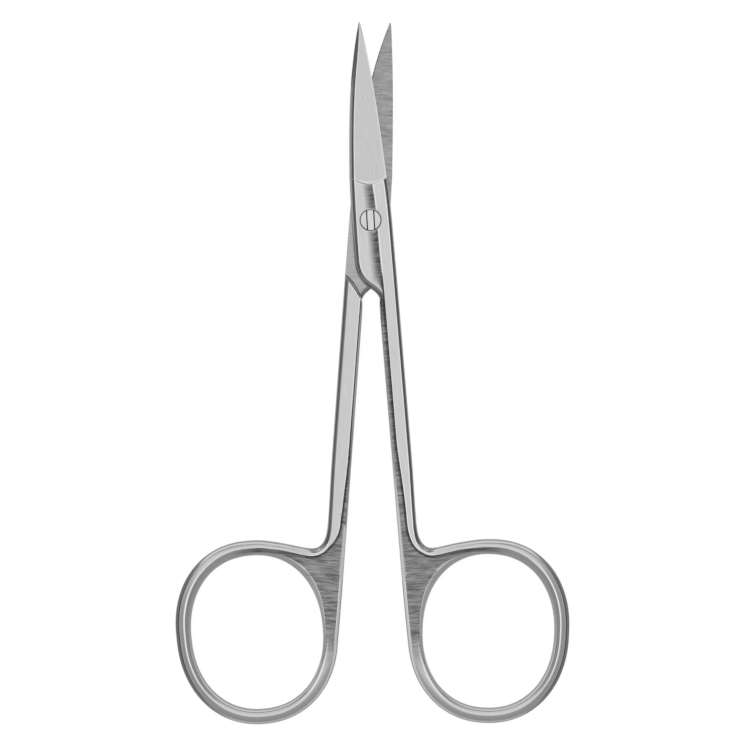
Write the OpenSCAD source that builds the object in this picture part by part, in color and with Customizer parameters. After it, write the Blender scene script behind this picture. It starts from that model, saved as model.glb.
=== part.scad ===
// Fine scissors: two forged halves with finger rings, joined by one slotted screw.
// The pivot axis is Z at the origin, the tips point along +Y, and the joint rests on z = 0.

/* [Opening] */
// Angle of the upper half from its closed place
upper_rest = 4.73; // [1:0.1:20]
// Angle of the lower half from its closed place
lower_rest = 4.13; // [1:0.1:20]

/* [Joint] */
// Thickness of the two halves together at the pivot
joint_t = 2.6; // [2.2:0.1:3.4]
// Gap between the two ground faces
face_gap = 0.04; // [0.02:0.01:0.08]
// Distance from the pivot to the centre side of the box
box_in = 2.46; // [2.2:0.05:3]
// Distance from the pivot to the outer side of the box
box_out = 2.74; // [2.5:0.05:3.2]
// Distance from the pivot up to the heel of the cutting edge
heel_y = 5.38; // [4.5:0.1:7]
// Distance from the pivot down to the shoulder at the outer side
shoulder_y = 7.1; // [6.5:0.1:9]
// Distance from the pivot down to the inner corner of the box
corner_y = 10.1; // [9.4:0.05:11.5]
// Length of the sloped shoulder along the shank
shoulder_run = 0.4; // [0.3:0.05:1]

/* [Blades] */
// Distance from the pivot to the tips
tip_y = 25.42; // [20:0.1:32]
// Distance from the centre line to the upper blade's spine at the heel
upper_spine = 2.25; // [2:0.05:2.8]
// Distance from the centre line to the lower blade's spine at the heel
lower_spine = 2.36; // [2:0.05:2.8]
// Distance from the centre line to the cutting edge at the heel
edge_x = 2.52; // [2.2:0.05:3]
// Thickness of a blade at the spine beside the heel
spine_t = 0.98; // [0.7:0.02:1.2]
// Thickness left at the cutting edge
edge_t = 0.12; // [0.08:0.01:0.2]
// Depth of the hollow grind on the inner face
hollow = 0.06; // [0:0.01:0.12]
// Width of a blade at its tip
tip_w = 0.16; // [0.1:0.01:0.4]
// Straight taper of the upper blade's spine
upper_taper = 1.45; // [0.8:0.05:2]
// Sweep of the upper blade's spine towards the tip
upper_sweep = 1.36; // [0.5:0.02:2]
// Straight taper of the lower blade's spine
lower_taper = 1.12; // [0.8:0.05:2]
// Sweep of the lower blade's spine towards the tip
lower_sweep = 0.45; // [0.2:0.05:1.5]
// Straight taper of the upper blade's cutting edge
upper_edge_taper = 1; // [0.6:0.05:1.6]
// Straight taper of the lower blade's cutting edge
lower_edge_taper = 1.4; // [0.6:0.05:1.8]

/* [Shanks] */
// Half of the gap between the closed shanks
centre_gap = 0.21; // [0.1:0.01:0.5]
// Width of a shank
shank_w = 2.55; // [2.2:0.05:3.2]
// Narrowing of the shank's outer side above the fillet
shank_waist = 0.1; // [0:0.02:0.3]
// Thickness of a shank
shank_t = 2.1; // [1.8:0.05:2.4]
// Width of the raised flat from the shank's outer side to its ridge
ridge_w = 1.76; // [1.5:0.02:1.9]
// Width of the raised flat where it runs round the fillet
fillet_ridge_w = 0.88; // [0.8:0.02:1.1]
// Depth of the flute in the box
box_flute_d = 0.36; // [0.2:0.02:0.44]
// Depth of the flute in the shank
shank_flute_d = 0.24; // [0.15:0.01:0.36]
// Width of the hollow from the ridge to the flute's floor in the box
box_hollow_w = 1.1; // [0.6:0.05:1.4]
// Width of the hollow from the ridge to the flute's floor in the shank
shank_hollow_w = 0.4; // [0.3:0.02:0.44]

/* [Finger rings] */
// Distance from the pivot down to the middle of the finger holes
ring_y = 53.7; // [46:0.1:62]
// Half of a finger hole's width
hole_w = 8.44; // [7.5:0.05:10]
// Half of a finger hole's height
hole_h = 9.86; // [8.5:0.05:12]
// Squareness of the finger hole, where 2 is an ellipse
hole_power = 2.17; // [2:0.01:2.6]
// Lean of the upper half's finger hole
upper_lean = 6.5; // [0:0.5:12]
// Lean of the lower half's finger hole
lower_lean = 9.6; // [0:0.5:12]
// Width of the ring's wire
wire_w = 1.92; // [1.7:0.02:2.6]
// Thickness of the ring's wire
wire_t = 1.96; // [1.7:0.02:2.3]
// Distance that a ring's side stands off the line of the shank's centre side
ring_stand = 0.16; // [0:0.02:0.6]
// Width of the bevel round the finger hole beside the shank
hole_bevel = 0.75; // [0.6:0.05:0.9]

/* [Screw] */
// Diameter of the screw's head
head_d = 2.75; // [2.4:0.05:3.2]
// Thickness of the screw's head
head_t = 0.46; // [0.36:0.02:0.6]
// Depth of the head's top below the top of the joint
head_sink = 0.36; // [0.2:0.02:0.44]
// Diameter of the screw's stem
stem_d = 1.6; // [1.2:0.05:1.8]
// Width of the slot
slot_w = 0.8; // [0.4:0.05:1]
// Depth of the slot
slot_d = 0.22; // [0.1:0.02:0.3]
// Radial gap round the stem
stem_gap = 0.03; // [0.02:0.01:0.06]
// Radial gap round the head
head_gap = 0.06; // [0.04:0.01:0.1]
// Gap under the head
seat_gap = 0.03; // [0.02:0.01:0.05]
// Angle of the slot from the length of the scissors
slot_angle = 3; // [-90:1:90]

/* [Hidden] */
$fn = 64;

mid_z = joint_t / 2;
face_h = face_gap / 2;
shank_out = centre_gap + shank_w;
ring_x = centre_gap + ring_stand + wire_w + hole_w;
blade_len = tip_y - heel_y;
upper_blade = [upper_spine, upper_taper, upper_sweep, upper_edge_taper];
lower_blade = [lower_spine, lower_taper, lower_sweep, lower_edge_taper];

// Widths of the rounded rim and of the bevel inside it, on outer sides, centre sides and spines
outer_rim = [0.17, 0.45];
centre_rim = [0.1, 0.36];
box_rim = [0.1, 0.48];
spine_rim = [0.26, 0.54];
// Width of the small bevel along the cutting edge
edge_bevel = 0.13;
// Fall of the rounded rims below the flats, and of the bevels inside them
rim_fall = 0.7;
bevel_fall = 0.2;
// Fall of the centre side's bevel on the box and on the shank, and of its rounded lip
box_fall = 0.17;
shank_fall = 0.05;
lip_fall = 0.42;
// Depth of the web below the ridge, and the lip and fall of the bevel round the hole
web_d = 0.22;
hole_lip = 0.12;
hole_fall = 0.16;
// Widths from the ring's outer side: its rim and bevel, and its narrow crest
wire_rim = [0.14, 0.42];
wire_crest = [1.04, 1.18];
// Width of the inner part of the wire's band beside the hole
wire_band = 0.3;
// Start and end of the step from the centre side's bevel to the web on the bar beside the hole
bar_flat = [0.55, 0.75];
// Places across the hollow, and the power of its curve
hollow_places = [0.35, 0.68, 1];
hollow_power = 1.4;

// Box: heights where its foot begins on the outer and centre sides, and its flat's width
foot_y = [-shoulder_y / 2, -shoulder_y * 0.7];
box_ridge_w = ridge_w + 0.1;
// Heel: step down from the ground face, rise from outer to centre side, notch and curve
box_step = 0.12;
heel_slant = 0.37;
heel_notch = 0.2;
heel_bow = 0.9;
// Curves of the foot's end and of the shank's start, and the shank's drop below the box
foot_bow = 0.6;
shank_bow = 0.15;
shank_drop = 0.04;
// Distance of the foot's corner from the line of the centre side
corner_in = 0.14;
// Height of the fillet above the ring, and the slant of the shank's last section
fillet_h = 3.2;
fan_step = 0.4;
// Extra width of the wire at its upper outer part
wire_swell = 0.2;

// Lanes across a half: 0 is the outer side, 3 the ridge, 9 the centre side or the finger hole
LANES = 9;
BLADE_ROWS = 16;
BOX_ROWS = 6;
FOOT_ROWS = 8;
SHANK_ROWS = 8;
FAN_ROWS = 4;
RING_STEPS = 64;

// Ring angles, counter-clockwise from +X: where the web meets the hole, where the wire
// leaves the fillet's shelf, and where it leaves the straight centre side
web_a = 138;
shelf_a = 100;
side_a = 190;

function mix(a, b, t) = a + (b - a) * t;
function soft(t) = let (c = min(1, max(0, t))) c * c * (3 - 2 * c);
function bezier(a, b, c, d, t) = let (s = 1 - t)
    s * s * s * a + 3 * s * s * t * b + 3 * s * t * t * c + t * t * t * d;
function power(c, p) = sign(c) * pow(abs(c), p);

// A section is ten points [x, y, top, bottom] from its outer end to its centre end.
// It bows towards the tips by the given rise, and its places are measured along the chord.
function chord(outer, inner, bow, places, tops, bottoms) =
    let (run = norm(inner - outer), dir = (inner - outer) / run, side = [dir[1], -dir[0]])
    [for (i = [0:LANES])
        let (p = places[i] / run, q = outer + dir * places[i] + side * bow * 4 * p * (1 - p))
        [q[0], q[1], tops[i], bottoms[i]]];

// Heights of the fluted section below its flat, from the outer side to the centre side
function fluted(depth, fall) = [rim_fall, bevel_fall, 0, 0,
    for (q = hollow_places) depth * (1 - pow(1 - q, hollow_power)), depth, depth + fall, depth + lip_fall];
// Heights below the crest of the ring's wire, and of the bar between the centre side and the hole
function wire_falls() = [rim_fall, 0.34, 0.14, 0, 0, 0.06, 0.12, 0.18, 0.24, rim_fall];
function bar_falls() = [web_d + lip_fall, web_d + shank_fall, for (i = [2:LANES - 2]) web_d,
    web_d + hole_fall, web_d + lip_fall];

// Places across a fluted section; slant stretches the outer lanes on a slanted chord
function fluted_places(run, slant, ridge, hollow_w, rim) =
    let (end = run - rim[1], from = min(ridge * slant, end - 0.12),
        to = min(from + hollow_w * slant, end - 0.02))
    [0, outer_rim[0] * slant, outer_rim[1] * slant, from, for (q = hollow_places) mix(from, to, q),
        end, run - rim[0], run];

// Places across the wire or the bar, from its outer rim over its flat to the band beside the hole
function lane_places(run, rim, flat, band) =
    [0, rim[0], rim[1], flat[0], flat[1], mix(flat[1], run - band, 0.35), mix(flat[1], run - band, 0.7),
        run - band, run - hole_lip, run];

function levels(height, falls) = [for (f = falls) height - f];
function minus(v) = [for (x = v) -x];
function same(x) = [for (i = [0:LANES]) x];

// Blade: u runs from 0 at the heel to 1 at the tip, and b holds the spine's place at the heel,
// the spine's taper, the spine's sweep and the cutting edge's taper
function spine_side(u, b) = -b[0] + b[1] * u + b[2] * u * u * u;
function edge_side(u, b) = let (fall = edge_x - tip_w - spine_side(1, b))
    edge_x - b[3] * u - (fall - b[3]) * u * u * u;
function blade_y(u) = heel_y + blade_len * u;
function blade_section(u, b) =
    let (outer = [edge_side(u, b), blade_y(u)],
        inner = [spine_side(u, b), blade_y(u) + heel_slant * (1 - u)],
        run = norm(inner - outer), k = min(1, run / 1.4),
        from = edge_bevel * k, to = run - spine_rim[1] * k,
        places = [0, from, for (i = [1:5]) mix(from, to, i / 6), to, run - spine_rim[0] * k, run],
        rise = (spine_t - edge_t * 2) * (to - from) / (edge_x + b[0] - spine_rim[1] - edge_bevel),
        thick = edge_t * 2 + rise,
        tops = [edge_t, edge_t * 2, for (i = [1:5]) edge_t * 2 + rise * i / 6, thick,
            thick - bevel_fall * k, face_h + 0.12 * thick],
        hollow_d = hollow * min(1, 6 * u * (1 - u)),
        bottoms = [for (p = places) face_h + hollow_d * 4 * (p / run) * (1 - p / run)])
    chord(outer, inner, -heel_bow * pow(1 - u, 6), places, tops, bottoms);

// Box from the end of the blade's ground face down to where its foot begins
function box_section(v, b) =
    let (w = 1 - v,
        outer = [box_out - heel_notch * w * w * w, mix(heel_y - box_step, foot_y[0], v)],
        inner = [-box_in + (box_in - b[0]) * w * w, mix(heel_y - box_step + heel_slant, foot_y[1], v)],
        run = norm(inner - outer))
    chord(outer, inner, -heel_bow * w * w * w, fluted_places(run, 1, box_ridge_w, box_hollow_w, box_rim),
        levels(mid_z, fluted(box_flute_d, box_fall)), same(face_h));

// Foot of the box, whose centre side curves in to the corner beside the shank
corner = [centre_gap + corner_in, -corner_y];
function foot_side(v) = bezier([-box_in, foot_y[1]], [-box_in, -shoulder_y - 0.2],
    corner + [-1.05, 1.2], corner, v);
function slant_of(outer, inner) = norm(inner - outer) / abs(inner[0] - outer[0]);
function foot_section(v) =
    let (outer = [mix(box_out, shank_out, v), mix(foot_y[0], -shoulder_y, v)], inner = foot_side(v),
        run = norm(inner - outer), slant = mix(1, slant_of(outer, inner), v),
        places = fluted_places(run, slant, mix(box_ridge_w, ridge_w, v), box_hollow_w, box_rim))
    chord(outer, inner, foot_bow * v, places,
        levels(mid_z - shank_drop * v, fluted(box_flute_d, box_fall)), same(face_h));

// Shank from the top of the shoulder down to the start of the fillet
shank_top = [[shank_out, -shoulder_y - shoulder_run], [centre_gap + corner_in / 2, -corner_y - 0.45]];
shank_low = -ring_y + hole_h + wire_w + fillet_h;
function shank_section(v) =
    let (s = 1 - v, outer = [shank_out - shank_waist * soft(4 * v - 3), mix(shank_top[0][1], shank_low, v)],
        inner = [centre_gap + corner_in / 2 * pow(s, 40), mix(shank_top[1][1], shank_low - fan_step, v)],
        run = norm(inner - outer), slant = slant_of(outer, inner),
        height = shank_t / 2 + (mid_z - shank_drop - shank_t / 2) * soft(1 - 2.2 * v),
        ridge = mix(ridge_w, fillet_ridge_w + 0.3, soft(2.6 * v - 1.6)), join = soft(1 - 8 * v),
        falls = fluted(mix(shank_flute_d, box_flute_d, join), mix(shank_fall, box_fall, join)))
    chord(outer, inner, shank_bow * pow(s, 8),
        fluted_places(run, slant, ridge, shank_hollow_w, mix(centre_rim, box_rim, join)),
        levels(height, falls), minus(levels(height, falls)));

// Web: stations fan from the shank round the fillet towards the finger hole
ring_top = -ring_y + hole_h + wire_w;
fillet_mid = [shank_out + 0.6, ring_top - 0.04];
function fillet_side(v) = let (x = shank_out - shank_waist)
    bezier([x, shank_low], [x, ring_top + 1.3], fillet_mid + [-0.5, 0.62], fillet_mid, v);
function hole_point(t, lean) =
    let (p = 2 / hole_power, u = hole_w * power(cos(t), p), v = hole_h * power(sin(t), p))
    [ring_x + u * cos(lean) + v * sin(lean), -ring_y - u * sin(lean) + v * cos(lean)];
function web_foot(lean) = [centre_gap, hole_point(web_a, lean)[1] - 0.3];
function fan_section(v, lean) =
    let (outer = fillet_side(v), inner = [centre_gap, mix(shank_low - fan_step, web_foot(lean)[1], v)],
        run = norm(inner - outer), falls = fluted(mix(shank_flute_d, web_d, v), shank_fall),
        ridge = mix(fillet_ridge_w + 0.3, fillet_ridge_w, v),
        places = fluted_places(run, 1, ridge, shank_hollow_w, centre_rim))
    chord(outer, inner, 0, places, levels(shank_t / 2, falls), minus(levels(shank_t / 2, falls)));

// Outer side of the ring: the shelf under the fillet, the even wire, the straight centre side
function wire_side(t, lean) =
    let (d = hole_point(t + 0.5, lean) - hole_point(t - 0.5, lean), out = [d[1], -d[0]] / norm(d))
    hole_point(t, lean) + out * (wire_w + (t > 0 && t < 90 ? wire_swell * sin(2 * t) : 0));
function shelf_side(t, lean) =
    let (from = wire_side(shelf_a, lean), v = (web_a - t) / (web_a - shelf_a))
    bezier(fillet_mid, fillet_mid + [1, -1.12], from + [-4.53, -0.17], from, v);
function centre_side(t, lean) =
    let (from = wire_side(side_a - 360, lean), v = (t + 360 - web_a) / (side_a - web_a))
    [mix(centre_gap, from[0], v * v), mix(web_foot(lean)[1], from[1], v)];
function ring_side(t, lean) = t > shelf_a ? shelf_side(t, lean)
    : t < side_a - 360 ? centre_side(t, lean) : wire_side(t, lean);

function ring_section(j, lean) =
    let (t = web_a - j * 360 / RING_STEPS, outer = ring_side(t, lean), inner = hole_point(t, lean),
        run = norm(inner - outer), a = soft((t - 90) / (web_a - 90)),
        c = soft((side_a - 360 - t) / (side_a - web_a)), b = 1 - a - c,
        height = mix(wire_t, shank_t, a + c) / 2,
        places = fluted_places(run, 1, fillet_ridge_w, shank_hollow_w, [hole_lip, hole_bevel]) * a
            + lane_places(run, wire_rim, wire_crest, wire_band) * b
            + lane_places(run, centre_rim, bar_flat, hole_bevel) * c,
        falls = fluted(web_d, hole_fall) * a + wire_falls() * b + bar_falls() * c)
    chord(outer, inner, 0, places, levels(height, falls), minus(levels(height, falls)));

// All sections of the limb, from the tip down to the last station of the web
function limb(b, lean) = [
    for (i = [0:BLADE_ROWS]) blade_section(1 - pow(i / BLADE_ROWS, 1.15), b),
    for (i = [0:BOX_ROWS]) box_section(i / BOX_ROWS, b),
    for (i = [1:FOOT_ROWS]) foot_section(i / FOOT_ROWS),
    for (i = [0:SHANK_ROWS]) shank_section(pow(i / SHANK_ROWS, 1.5)),
    for (i = [1:FAN_ROWS]) fan_section(i / FAN_ROWS, lean)];

// Corner patch of the web: row i runs from lane i of the limb to lane i of the ring's first station
function patch(last, first, height) = [
    for (i = [2:LANES - 1]) for (j = [1:i - 1])
        let (p = mix(last[i], first[i], j / i), fall = fluted(web_d, 0)[min(i, LANES - 2)])
        [p[0], p[1], height - fall, fall - height]];

// One half as a closed shell: the outer face is its top, and its flat faces lie on the mid plane
module shell(b, lean) {
    limb_rows = limb(b, lean);
    n = len(limb_rows) - 1;
    ring_rows = [for (j = [0:RING_STEPS]) ring_section(j, lean)];
    all = [each [for (r = limb_rows) each r], each [for (r = ring_rows) each r],
        each patch(limb_rows[n], ring_rows[0], shank_t / 2)];
    count = len(all);
    w = LANES + 1;
    ring_at = (n + 1) * w;
    patch_at = ring_at + (RING_STEPS + 1) * w;
    function limb_id(s, l) = s * w + l;
    function ring_id(j, l) = l == 0 && j == 0 ? limb_id(n, 0)
        : l == 0 && j == RING_STEPS ? limb_id(n, LANES)
        : l == LANES && j == RING_STEPS ? ring_at + LANES : ring_at + j * w + l;
    function patch_id(i, j) = i == LANES ? ring_id(RING_STEPS, j) : j == 0 ? limb_id(n, i)
        : j == i ? ring_id(0, i) : patch_at + (i - 2) * (i - 1) / 2 + j - 1;
    function cell(a, b, c, d) = [[a, d, c], [a, c, b]];
    face = [
        for (s = [0:n - 1]) for (l = [0:LANES - 1])
            each cell(limb_id(s, l), limb_id(s, l + 1), limb_id(s + 1, l + 1), limb_id(s + 1, l)),
        for (j = [0:RING_STEPS - 1]) for (l = [0:LANES - 1])
            each cell(ring_id(j, l), ring_id(j, l + 1), ring_id(j + 1, l + 1), ring_id(j + 1, l)),
        for (i = [0:LANES - 1]) for (j = [0:i])
            [patch_id(i, j), patch_id(i + 1, j + 1), patch_id(i + 1, j)],
        for (i = [1:LANES - 1]) for (j = [0:i - 1])
            [patch_id(i, j), patch_id(i, j + 1), patch_id(i + 1, j + 1)]];
    rims = [
        for (s = [0:n - 1]) [limb_id(s + 1, 0), limb_id(s, 0)],
        for (s = [0:n - 1]) [limb_id(s, LANES), limb_id(s + 1, LANES)],
        for (l = [0:LANES - 1]) [limb_id(0, l), limb_id(0, l + 1)],
        for (j = [0:RING_STEPS - 1]) [ring_id(j + 1, 0), ring_id(j, 0)],
        for (j = [0:RING_STEPS - 1]) [ring_id(j, LANES), ring_id(j + 1, LANES)]];
    points = [for (p = all) [p[0], p[1], p[2]], for (p = all) [p[0], p[1], p[3]]];
    faces = [
        each face,
        for (f = face) [f[0] + count, f[2] + count, f[1] + count],
        for (r = rims) each [[r[0], r[1], r[1] + count], [r[0], r[1] + count, r[0] + count]]];
    polyhedron(points = points, faces = faces, convexity = 6);
}

module upper_half() {
    color("silver")
    rotate([0, 0, upper_rest])
    difference() {
        translate([0, 0, mid_z]) shell(upper_blade, upper_lean);
        cylinder(h = 2 * joint_t, d = stem_d + 2 * stem_gap);
        translate([0, 0, joint_t - head_sink - head_t - seat_gap])
            cylinder(h = joint_t, d = head_d + 2 * head_gap);
    }
}

module lower_half() {
    color("darkgray")
    rotate([0, 0, -lower_rest])
    difference() {
        translate([0, 0, mid_z]) rotate([0, 180, 0]) shell(lower_blade, lower_lean);
        translate([0, 0, -joint_t]) cylinder(h = 2 * joint_t, d = stem_d + 2 * stem_gap);
    }
}

module pivot_screw() {
    head_z = joint_t - head_sink - head_t;
    color("gainsboro")
    difference() {
        union() {
            cylinder(h = head_z + head_t / 2, d = stem_d);
            translate([0, 0, head_z]) cylinder(h = head_t, d = head_d);
        }
        rotate([0, 0, slot_angle])
        translate([-slot_w / 2, -head_d, head_z + head_t - slot_d])
            cube([slot_w, 2 * head_d, 2 * slot_d]);
    }
}

upper_half();
lower_half();
pivot_screw();
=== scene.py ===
import math

import bpy
import numpy as np
from mathutils import Matrix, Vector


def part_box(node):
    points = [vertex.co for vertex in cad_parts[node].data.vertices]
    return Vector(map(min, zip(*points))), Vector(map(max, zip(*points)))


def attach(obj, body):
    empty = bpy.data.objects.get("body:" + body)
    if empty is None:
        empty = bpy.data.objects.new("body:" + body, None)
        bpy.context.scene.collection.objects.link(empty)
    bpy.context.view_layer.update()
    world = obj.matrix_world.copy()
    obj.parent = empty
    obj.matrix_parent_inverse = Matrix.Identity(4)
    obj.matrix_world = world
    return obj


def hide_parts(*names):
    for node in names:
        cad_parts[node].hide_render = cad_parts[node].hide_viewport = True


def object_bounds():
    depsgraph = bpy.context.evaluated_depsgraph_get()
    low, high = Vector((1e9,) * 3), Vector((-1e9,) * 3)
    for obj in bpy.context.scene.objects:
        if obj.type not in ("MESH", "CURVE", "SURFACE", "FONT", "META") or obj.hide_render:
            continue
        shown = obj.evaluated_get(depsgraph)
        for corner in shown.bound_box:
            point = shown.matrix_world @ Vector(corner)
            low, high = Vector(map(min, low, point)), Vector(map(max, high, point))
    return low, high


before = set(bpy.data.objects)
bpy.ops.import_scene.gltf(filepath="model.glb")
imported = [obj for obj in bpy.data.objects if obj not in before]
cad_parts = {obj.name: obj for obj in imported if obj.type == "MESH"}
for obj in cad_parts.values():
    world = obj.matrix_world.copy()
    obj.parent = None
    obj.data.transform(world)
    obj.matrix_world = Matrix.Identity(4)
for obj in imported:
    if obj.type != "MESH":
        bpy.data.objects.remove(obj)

cad_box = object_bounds()

# Lower half
# One forging of stainless steel with its blade, box, shank and finger ring. It lies under the
# other half, so its flat ground face looks up. The flute is hollow ground, and the ring is filed
# round. All sizes here are in millimetres, in the half's own place when the scissors are closed.
MM = 0.001
low, high = cad_box
joint_t = (high.z - low.z) / MM
mid_z = joint_t / 2
face_h = 0.02
lower_rest = math.radians(4.13)

# Box, heel and shoulder
box_in = 2.46
box_out = 2.74
heel_y = 5.38
shoulder_y = 7.1
corner_y = 10.1
shoulder_run = 0.4
foot_from = (-shoulder_y / 2, -shoulder_y * 0.7)
corner_in = 0.14
corner_drop = 0.55
shank_drop = 0.04
foot_bow = 0.6
turned_edge_h = 0.3
turned_edge_w = 0.5
stem_bore = 0.83

# Blade: its rims are full where it is wider than full_rim_w
tip_y = 25.42
edge_x = 2.52
spine_t = 0.98
edge_t = 0.12
edge_bevel = 0.13
spine_rim = (0.34, 0.57)
hollow = 0.06
tip_w = 0.16
full_rim_w = 2.4
heel_slant = 0.37
heel_bow = 0.9
box_step = 0.12
heel_notch = 0.2
lower_blade = {"spine": 2.36, "taper": 1.12, "sweep": 0.45, "edge_taper": 1.4}

# Shank: each rim is the width of its rounding, and the width of its rounding and bevel together
centre_gap = 0.21
shank_w = 2.55
shank_waist = 0.1
shank_t = 2.1
shank_bow = 0.15
ridge_w = 1.76
box_ridge_w = 1.86
fillet_ridge_w = 0.88
outer_rim = (0.17, 0.45)
inner_face_rim = (0.2, 0.53)
fillet_rim = (0.42, 0.6)
rim_fall = 0.7
rim_bend = 0.32
bevel_fall = 0.2
box_flute_d = 0.42
box_hollow_w = 1.5
shank_flute_d = 0.24
shank_hollow_w = 0.4
hollow_power = 1.6
least_hollow = 0.12
least_floor = 0.02
web_d = 0.22
line_w = 0.08

# Finger ring
ring_y = 53.7
hole_w = 8.44
hole_h = 9.86
hole_power = 2.17
lower_lean = math.radians(9.6)
wire_w = 1.905
wire_t = 1.96
wire_swell = 0.2
wire_rim = (0.14, 0.36)
side_rim = (0.28, 0.52)
wire_crest = 1.09
crest_w = 0.14
band_fall = 0.17
side_bevel_fall = 0.15
inner_band = 0.7
inner_slope = 0.36
inner_lip_fall = 0.06
flat_tilt = 0.16
ring_stand = 0.16

# Angles round the ring: where the web meets the hole, where the wire leaves the fillet's shelf,
# and where it leaves the straight centre side
web_a = math.radians(138)
shelf_a = math.radians(100)
side_a = math.radians(190 - 360)
full_turn = math.radians(360)
# Spans round the ring, each with the angle where it begins and the angle over which it comes in
WEB_SPAN = (76, 62)
WEB_MARKS = (74, 22)
SHELF_SPAN = (122, 16)
SIDE_SPAN = (68, 34)
CREST_OUT = (50, 30)
CREST_LINE = (62, 40)
CREST_IN = (-100, 50)
CREST_END = (-110, 30)
BAR_SPAN = (-145, 40)
BAR_MARKS = (-145, 35)

shank_out = centre_gap + shank_w
ring_x = centre_gap + ring_stand + wire_w + hole_w
ring_top = -ring_y + hole_h + wire_w
fillet_h = 3.2
shank_low = ring_top + fillet_h
fan_step = 0.4
shank_top_out = np.array([shank_out, -shoulder_y - shoulder_run])
shank_top_in = np.array([centre_gap + corner_in / 2, -corner_y - corner_drop])
fillet_mid = np.array([shank_out + 0.6, ring_top - 0.04])
box_corner = np.array([centre_gap + corner_in, -corner_y])

# Steps across a half: rounded rim, bevel, flat, hollow, floor, and the rim of the centre side
ACROSS = {"rim": 5, "bevel": 3, "flat": 6, "hollow": 10, "floor": 6, "centre": 8}
LANES = sum(ACROSS.values())
FLAT_FROM = ACROSS["rim"] + ACROSS["bevel"]
RIDGE = FLAT_FROM + ACROSS["flat"]
FLOOR_FROM = RIDGE + ACROSS["hollow"]
CENTRE_FROM = LANES - ACROSS["centre"]

# Rows along a half, sides of a round cut, and the angle from which an edge of a half stays sharp
BLADE_ROWS = 60
BOX_ROWS = 24
FOOT_ROWS = 24
WALL_ROWS = 14
SHANK_ROWS = 60
WEB_ROWS = 16
RING_ROWS = 220
ROUND_SIDES = 96
half_crease = 24

# Rims of the centre side: width, width of the rounded lip, fall of the facet between them,
# fall of the lip, and the power of the facet's curve
HEEL_RIM = np.array([0.57, 0.34, 0.2, 0.55, 1])
BOX_RIM = np.array([0.6, 0.3, 0.2, 0.5, 1])
FOOT_RIM = np.array([0.6, 0.2, 0.26, 0.4, 1.4])
SHANK_RIM = np.array([0.36, 0.1, 0.05, 0.4, 1])
NARROW_RIM = np.array([0.22, 0.1, 0.04, 0.4, 1])
HOLE_RIM = np.array([0.75, 0.12, 0.16, 0.4, 1])
WIRE_RIM = np.array([0.3, 0.12, 0.06, 0.5, 1])

# Places along the shank, and the width of its flat on the inner face there
INNER_RIDGE = ((0, 0.3, 0.5, 0.73, 0.87, 1), (2.18, 2.14, 2.11, 2.08, 1.86, 1.58))


def mix(a, b, t):
    return a + (b - a) * t


def soft(t):
    """Rises from 0 to 1 and is level at both ends."""
    c = min(1.0, max(0.0, t))
    return c * c * (3 - 2 * c)


def bezier(a, b, c, d, t):
    s = 1 - t
    return s * s * s * a + 3 * s * s * t * b + 3 * s * t * t * c + t * t * t * d


def bent(a, b, c, t):
    """A curve from a to c that starts and ends towards b."""
    return (1 - t) ** 2 * a + 2 * t * (1 - t) * b + t ** 2 * c


def steps(name):
    return np.linspace(0, 1, ACROSS[name] + 1)


def joined(parts):
    """Puts parts end to end, where each starts with the last value of the one before."""
    return np.concatenate([parts[0]] + [part[1:] for part in parts[1:]])


def flat_places(a, b):
    """Places across a flat, with a narrow strip for the painted highlight along each of its edges."""
    line = min(line_w, (b - a) / 5)
    return np.array([a, a + line, a + 1.5 * line, (a + b) / 2, b - 1.5 * line, b - line, b])


def centre_fall(d, rim):
    """Extra fall at the distance d from a section's centre end."""
    width, lip, facet, lip_fall, power = rim
    slope = np.clip((width - d) / (width - lip), 0, 1) ** power * facet
    over_lip = np.clip(1 - d / lip, 0, 1)
    return slope + lip_fall * over_lip * (0.45 + 0.55 * over_lip)


def centre_places(run, rim):
    """Places over the centre side's facet and its rounded lip."""
    width, lip = rim[0], rim[1]
    t = steps("centre")
    over_facet = mix(width, lip, np.clip(2 * t, 0, 1))
    over_lip = lip * np.clip(2 * t - 1, 0, 1)
    return run - over_facet + over_lip


def fluted(run, reach, ridge, hollow_w, depth, rim, outer=outer_rim, crisp=1):
    """Places from the outer side, and falls below the flat, of a section with a raised flat."""
    rim_w, bevel_to = reach(outer[0]), reach(outer[1])
    end = run - rim[0]
    ridge_at = min(reach(ridge), end - least_hollow)
    floor_at = min(reach(ridge + hollow_w), end - least_floor)
    t = steps("rim")
    q = steps("hollow")
    ends = centre_places(run, rim)
    flat = flat_places(bevel_to, ridge_at)
    places = joined([rim_w * t ** 2, mix(rim_w, bevel_to, steps("bevel")), flat,
                     mix(ridge_at, floor_at, q), mix(floor_at, end, steps("floor")), ends])
    tilt = flat_tilt * (1 - crisp) * (ridge_at - flat) / (ridge_at - bevel_to)
    falls = joined([bent(rim_fall, rim_bend, bevel_fall, t), mix(bevel_fall, tilt[0], steps("bevel")),
                    tilt, depth * (1 - (1 - q) ** hollow_power),
                    depth + 0 * steps("floor"), depth + centre_fall(run - ends, rim)])
    return places, falls


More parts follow.
